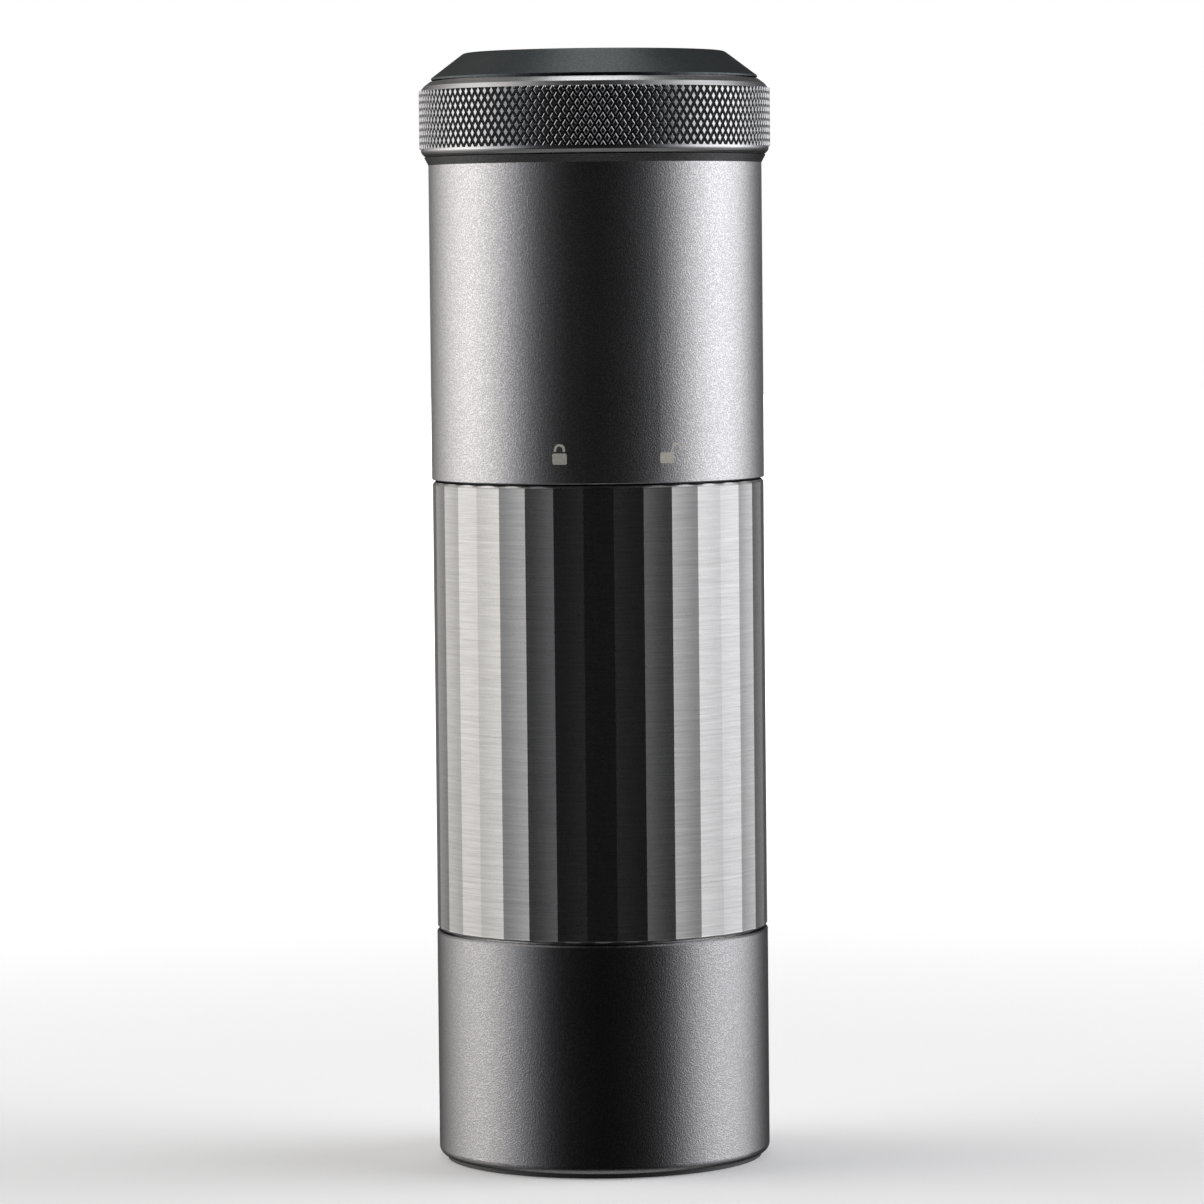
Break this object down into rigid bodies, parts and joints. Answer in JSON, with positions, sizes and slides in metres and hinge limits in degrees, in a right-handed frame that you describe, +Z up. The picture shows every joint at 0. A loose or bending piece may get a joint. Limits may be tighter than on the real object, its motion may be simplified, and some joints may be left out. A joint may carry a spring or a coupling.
{
  "type": "portable coffee grinder",
  "caption": "Slim cylindrical battery coffee grinder with a pull-off cup, fluted grip, twist-off motor unit and knurled speed ring under a bevelled cap.",
  "frame": {"origin": "centre of the foot's underside, on the grinder's axis", "axes": "+Z up along the grinder's axis, -Y towards the front with the lock marks, +X to the front view's right"},
  "size_m": [0.0674, 0.0674, 0.213],
  "materials": {
    "graphite_anodised": "bead-blasted matt anodising, dark grey",
    "fluted_anodised": "fine-turned satin anodising, mid grey",
    "lock_mark_ink": "laser-marked light warm grey",
    "black_silicone": "matt moulded silicone",
    "seal_rubber": "smooth nitrile",
    "black_polymer": "fine-grained moulding",
    "clear_polymer": "smoke-clear polymer",
    "light_diffuser": "milky diffuser",
    "bright_aluminium": "fine-turned",
    "burr_steel": "hardened and ground",
    "bright_steel": "ground",
    "gear_steel": "sintered and oiled",
    "magnet_plating": "nickel plated",
    "ferrite": "pressed ferrite",
    "motor_steel": "zinc plated",
    "cast_zinc": "die cast",
    "copper_core": "enamelled windings on stacked sheet",
    "cell_wrap": "shrink-wrapped can",
    "green_laminate": "solder resist over laminate",
    "wire_jacket": "silicone insulation"
  },
  "bodies": {
    "grip": {"grip_sleeve": "fluted_anodised", "bean_hopper": "clear_polymer", "bayonet_collar": "bright_aluminium", "lower_bearing_bridge": "bright_aluminium", "upper_bearing_bridge": "bright_aluminium", "burr_carrier": "bright_aluminium", "outer_burr": "burr_steel", "burr_retainer": "bright_steel", "burr_screws": "bright_steel", "spigot_magnets": "magnet_plating", "shaft_bearings": "bright_steel"},
    "cup": {"cup_shell": "graphite_anodised", "foot_pad": "black_silicone", "cup_rim_ring": "black_polymer", "cup_magnets": "magnet_plating"},
    "burr_shaft": {"drive_shaft": "bright_steel", "shaft_driver": "bright_steel", "bearing_inner_rings": "bright_steel", "shaft_clips": "bright_steel", "burr_spring": "bright_steel"},
    "cone": {"cone_burr": "burr_steel", "click_plate": "burr_steel"},
    "grind_dial": {"adjust_dial": "black_polymer"},
    "twist_washer": {"wave_washer": "bright_steel"},
    "motor_unit": {"upper_tube": "graphite_anodised", "lock_marks": "lock_mark_ink", "bayonet_base": "black_polymer", "spigot_seal": "seal_rubber", "base_screws": "bright_steel", "gearbox_housing": "cast_zinc", "output_bearing": "bright_steel", "shaft_seal": "seal_rubber", "motor_can": "motor_steel", "motor_cover": "bright_steel", "motor_magnets": "ferrite", "motor_leads": "wire_jacket", "battery_cells": "cell_wrap", "cell_holders": "black_polymer", "control_board": "green_laminate", "charge_board": "green_laminate", "top_cap": "graphite_anodised", "light_ring": "light_diffuser"},
    "speed_ring": {"speed_dial": "graphite_anodised", "dial_magnets": "magnet_plating"},
    "button": {"power_button": "black_polymer"},
    "port_cover": {"usb_cover": "black_silicone"},
    "rotor": {"rotor_shaft": "bright_steel", "armature": "copper_core"},
    "stage_1_carrier": {"input_carrier": "gear_steel"},
    "stage_2_carrier": {"output_carrier": "gear_steel", "output_inner_ring": "bright_steel", "output_dog": "black_polymer"},
    "stage_1_planet_a": {"stage_1_planet_a": "gear_steel"},
    "stage_1_planet_b": {"stage_1_planet_b": "gear_steel"},
    "stage_1_planet_c": {"stage_1_planet_c": "gear_steel"},
    "stage_2_planet_a": {"stage_2_planet_a": "gear_steel"},
    "stage_2_planet_b": {"stage_2_planet_b": "gear_steel"},
    "stage_2_planet_c": {"stage_2_planet_c": "gear_steel"}
  },
  "joints": [
    {"name": "cup_pull", "type": "slide", "parent": "grip", "child": "cup", "axis": [0, 0, -1], "range_m": [0, 0.055]},
    {"name": "unit_twist", "type": "hinge", "parent": "grip", "child": "twist_washer", "pos_m": [0, 0, 0.1222], "axis": [0, 0, 1], "range_deg": [0, 37]},
    {"name": "unit_lift", "type": "slide", "parent": "twist_washer", "child": "motor_unit", "axis": [0, 0, 1], "range_m": [0, 0.075]},
    {"name": "shaft_spin", "type": "hinge", "parent": "grip", "child": "burr_shaft", "pos_m": [0, 0, 0.08], "axis": [0, 0, 1], "continuous": true},
    {"name": "cone_slide", "type": "slide", "parent": "burr_shaft", "child": "cone", "axis": [0, 0, -1], "range_m": [0, 0.0012], "deforming": ["burr_spring"]},
    {"name": "dial_turn", "type": "hinge", "parent": "cone", "child": "grind_dial", "pos_m": [0, 0, 0.045], "axis": [0, 0, 1], "range_deg": [0, 345]},
    {"name": "speed_turn", "type": "hinge", "parent": "motor_unit", "child": "speed_ring", "pos_m": [0, 0, 0.2], "axis": [0, 0, 1], "range_deg": [0, 300]},
    {"name": "button_press", "type": "slide", "parent": "motor_unit", "child": "button", "axis": [0, 0, -1], "range_m": [0, 0.0007], "stiffness_N_per_m": 2000, "springref_m": -0.0004},
    {"name": "port_cover_open", "type": "hinge", "parent": "motor_unit", "child": "port_cover", "pos_m": [0, 0.032, 0.1776], "axis": [-1, 0, 0], "range_deg": [0, 100]},
    {"name": "rotor_spin", "type": "hinge", "parent": "motor_unit", "child": "rotor", "pos_m": [0, 0, 0.17], "axis": [0, 0, 1], "continuous": true},
    {"name": "stage_1_carrier_spin", "type": "hinge", "parent": "motor_unit", "child": "stage_1_carrier", "pos_m": [0, 0, 0.1502], "axis": [0, 0, 1], "continuous": true},
    {"name": "stage_2_carrier_spin", "type": "hinge", "parent": "motor_unit", "child": "stage_2_carrier", "pos_m": [0, 0, 0.1414], "axis": [0, 0, 1], "continuous": true},
    {"name": "stage_1_planet_a_spin", "type": "hinge", "parent": "stage_1_carrier", "child": "stage_1_planet_a", "pos_m": [0, 0.0075, 0.1534], "axis": [0, 0, 1], "continuous": true},
    {"name": "stage_1_planet_b_spin", "type": "hinge", "parent": "stage_1_carrier", "child": "stage_1_planet_b", "pos_m": [-0.0065, -0.00375, 0.1534], "axis": [0, 0, 1], "continuous": true},
    {"name": "stage_1_planet_c_spin", "type": "hinge", "parent": "stage_1_carrier", "child": "stage_1_planet_c", "pos_m": [0.0065, -0.00375, 0.1534], "axis": [0, 0, 1], "continuous": true},
    {"name": "stage_2_planet_a_spin", "type": "hinge", "parent": "stage_2_carrier", "child": "stage_2_planet_a", "pos_m": [0, 0.0075, 0.1458], "axis": [0, 0, 1], "continuous": true},
    {"name": "stage_2_planet_b_spin", "type": "hinge", "parent": "stage_2_carrier", "child": "stage_2_planet_b", "pos_m": [-0.0065, -0.00375, 0.1458], "axis": [0, 0, 1], "continuous": true},
    {"name": "stage_2_planet_c_spin", "type": "hinge", "parent": "stage_2_carrier", "child": "stage_2_planet_c", "pos_m": [0.0065, -0.00375, 0.1458], "axis": [0, 0, 1], "continuous": true}
  ],
  "couplings": [
    {"joint": "dial_turn", "follows": "cone_slide", "rad_per_m": 5026.5},
    {"joint": "shaft_spin", "follows": "rotor_spin", "ratio": 0.04},
    {"joint": "stage_1_carrier_spin", "follows": "rotor_spin", "ratio": 0.2},
    {"joint": "stage_2_carrier_spin", "follows": "rotor_spin", "ratio": 0.04},
    {"joint": "stage_1_planet_a_spin", "follows": "rotor_spin", "ratio": -0.53333},
    {"joint": "stage_1_planet_b_spin", "follows": "rotor_spin", "ratio": -0.53333},
    {"joint": "stage_1_planet_c_spin", "follows": "rotor_spin", "ratio": -0.53333},
    {"joint": "stage_2_planet_a_spin", "follows": "rotor_spin", "ratio": -0.10667},
    {"joint": "stage_2_planet_b_spin", "follows": "rotor_spin", "ratio": -0.10667},
    {"joint": "stage_2_planet_c_spin", "follows": "rotor_spin", "ratio": -0.10667}
  ]
}
